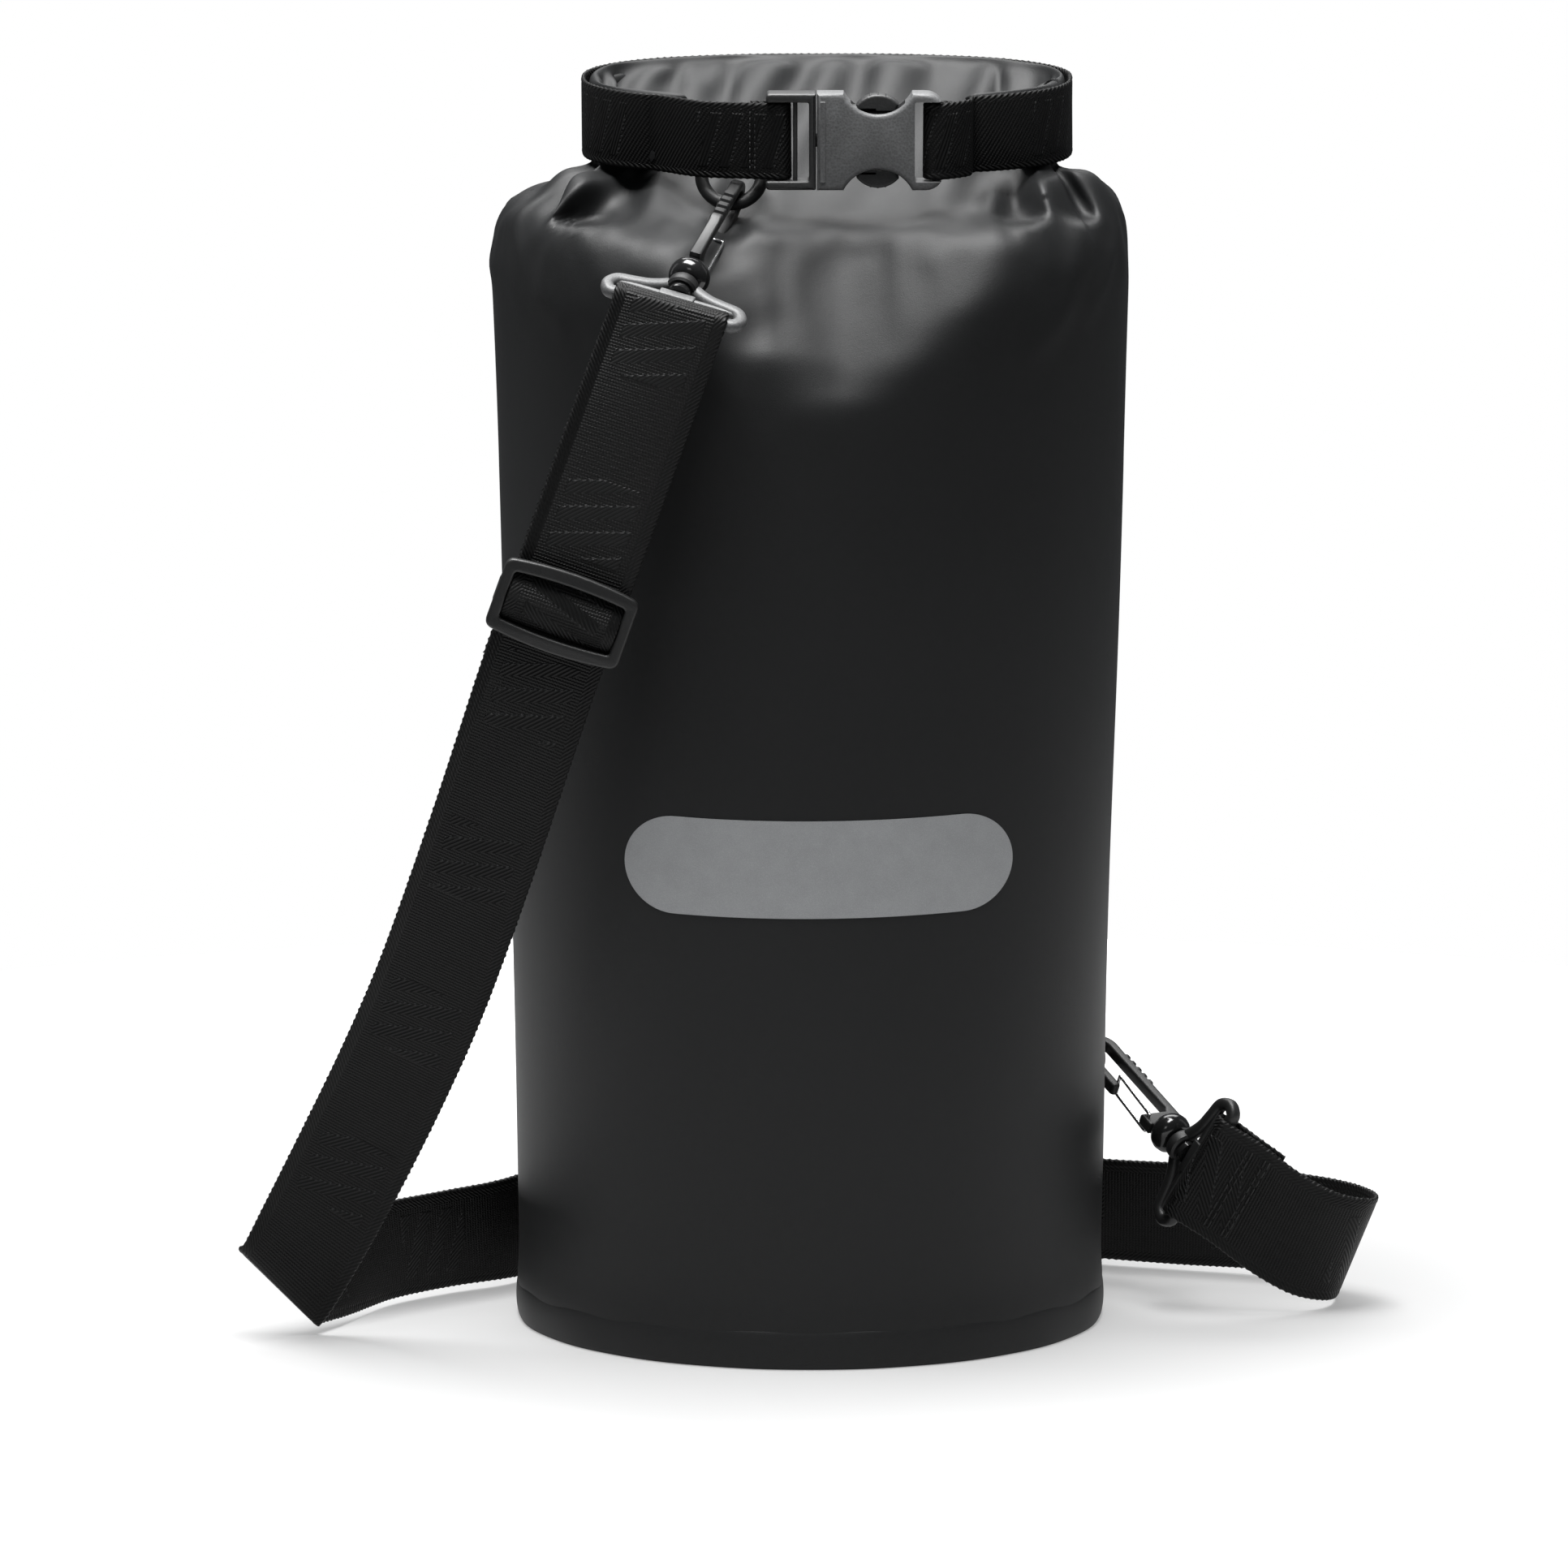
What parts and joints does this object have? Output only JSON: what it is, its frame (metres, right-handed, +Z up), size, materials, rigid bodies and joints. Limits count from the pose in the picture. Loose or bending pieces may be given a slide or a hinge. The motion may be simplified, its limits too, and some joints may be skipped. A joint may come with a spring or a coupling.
{
  "type": "roll-top dry bag",
  "caption": "Roll-top dry bag with a round welded base, a webbing closure loop with a side-release buckle, and a shoulder strap clipped on with swivel snap hooks.",
  "frame": {"origin": "centre of the base, on the floor", "axes": "+Z up, -Y out of the bag's front where the buckle is, +X to the right seen from the front"},
  "size_m": [0.3731, 0.2158, 0.4135],
  "materials": {
    "coated_fabric": "matte",
    "webbing": "twill",
    "strap_webbing": "ribbed",
    "buckle_plastic": "textured",
    "hardware_plastic": "satin",
    "steel_wire": "bright",
    "reflective_print": "retroreflective",
    "stiffener_plastic": "matte"
  },
  "bodies": {
    "bag": {"body_shell": "coated_fabric", "base_panel": "coated_fabric", "base_weld_band": "coated_fabric", "back_seam_tape": "coated_fabric", "reflective_mark": "reflective_print", "mouth_roll": "coated_fabric", "mouth_stiffener": "stiffener_plastic", "closure_webbing": "webbing", "closure_tacks": "webbing", "buckle_male": "buckle_plastic", "upper_ring_tab": "webbing", "upper_ring_tack": "webbing", "lower_ring_patch": "coated_fabric", "lower_ring_tab": "webbing", "lower_ring_tacks": "webbing", "shoulder_strap": "strap_webbing", "strap_end_stitches": "strap_webbing", "strap_box_stitches": "strap_webbing"},
    "buckle_female_half": {"buckle_female": "buckle_plastic"},
    "prong_upper": {"buckle_prong_upper": "buckle_plastic"},
    "prong_lower": {"buckle_prong_lower": "buckle_plastic"},
    "upper_ring": {"upper_d_ring": "hardware_plastic"},
    "lower_ring": {"lower_d_ring": "hardware_plastic"},
    "upper_loop": {"upper_web_loop": "hardware_plastic", "upper_loop_sleeve": "hardware_plastic"},
    "upper_snap": {"upper_hook": "hardware_plastic", "upper_swivel_pin": "hardware_plastic"},
    "upper_wire_gate": {"upper_gate": "steel_wire"},
    "lower_loop": {"lower_web_loop": "hardware_plastic", "lower_loop_sleeve": "hardware_plastic"},
    "lower_snap": {"lower_hook": "hardware_plastic", "lower_swivel_pin": "hardware_plastic"},
    "lower_wire_gate": {"lower_gate": "steel_wire"},
    "slider": {"slider": "hardware_plastic"}
  },
  "joints": [
    {"name": "buckle_release", "type": "slide", "parent": "bag", "child": "buckle_female_half", "axis": [1, 0, 0], "range_m": [0, 0.028], "deforming": ["closure_webbing", "closure_tacks", "buckle_prong_upper", "buckle_prong_lower"]},
    {"name": "prong_press_upper", "type": "hinge", "parent": "bag", "child": "prong_upper", "pos_m": [0.004, -0.045, 0.4079], "axis": [0, 1, 0], "range_deg": [0, 9], "stiffness_Nm_per_rad": 0.05},
    {"name": "prong_press_lower", "type": "hinge", "parent": "bag", "child": "prong_lower", "pos_m": [0.004, -0.045, 0.3871], "axis": [0, 1, 0], "range_deg": [-9, 0]},
    {"name": "upper_d_ring_swing", "type": "hinge", "parent": "bag", "child": "upper_ring", "pos_m": [-0.0255, -0.0346, 0.3905], "axis": [1, 0, 0], "range_deg": [-2, 2]},
    {"name": "lower_d_ring_swing", "type": "hinge", "parent": "bag", "child": "lower_ring", "pos_m": [0.08626, 0.05443, 0.0856], "axis": [-0.5336, 0.8457, 0], "range_deg": [-3, 3]},
    {"name": "upper_web_loop_swing", "type": "hinge", "parent": "bag", "child": "upper_loop", "pos_m": [-0.0451, -0.1012, 0.3521], "axis": [0.9454, -0.2183, -0.2419], "range_deg": [-0.8, 0.8]},
    {"name": "upper_hook_swivel", "type": "hinge", "parent": "upper_loop", "child": "upper_snap", "pos_m": [-0.03916, -0.08354, 0.35937], "axis": [0.2969, 0.883, 0.3635], "range_deg": [-6, 6]},
    {"name": "upper_gate_open", "type": "hinge", "parent": "upper_snap", "child": "upper_wire_gate", "pos_m": [-0.0377, -0.0751, 0.35749], "axis": [0.9454, -0.2183, -0.2419], "range_deg": [0, 16], "stiffness_Nm_per_rad": 0.004},
    {"name": "lower_web_loop_swing", "type": "hinge", "parent": "bag", "child": "lower_loop", "pos_m": [0.1282, -0.0019, 0.0485], "axis": [0.487, -0.1677, 0.8572], "range_deg": [-0.4, 0.2]},
    {"name": "lower_hook_swivel", "type": "hinge", "parent": "lower_loop", "child": "lower_snap", "pos_m": [0.11815, 0.01308, 0.05714], "axis": [-0.5024, 0.749, 0.4319], "range_deg": [-6, 2]},
    {"name": "lower_gate_open", "type": "hinge", "parent": "lower_snap", "child": "lower_wire_gate", "pos_m": [0.11038, 0.01568, 0.06026], "axis": [-0.2424, 0.3575, -0.9019], "range_deg": [0, 16], "stiffness_Nm_per_rad": 0.004},
    {"name": "slider_slide", "type": "slide", "parent": "bag", "child": "slider", "axis": [0.3337, -0.0297, 0.9422], "range_m": [-0.01, 0.025]}
  ],
  "couplings": [
    {"joint": "prong_press_lower", "follows": "prong_press_upper", "ratio": -1}
  ]
}
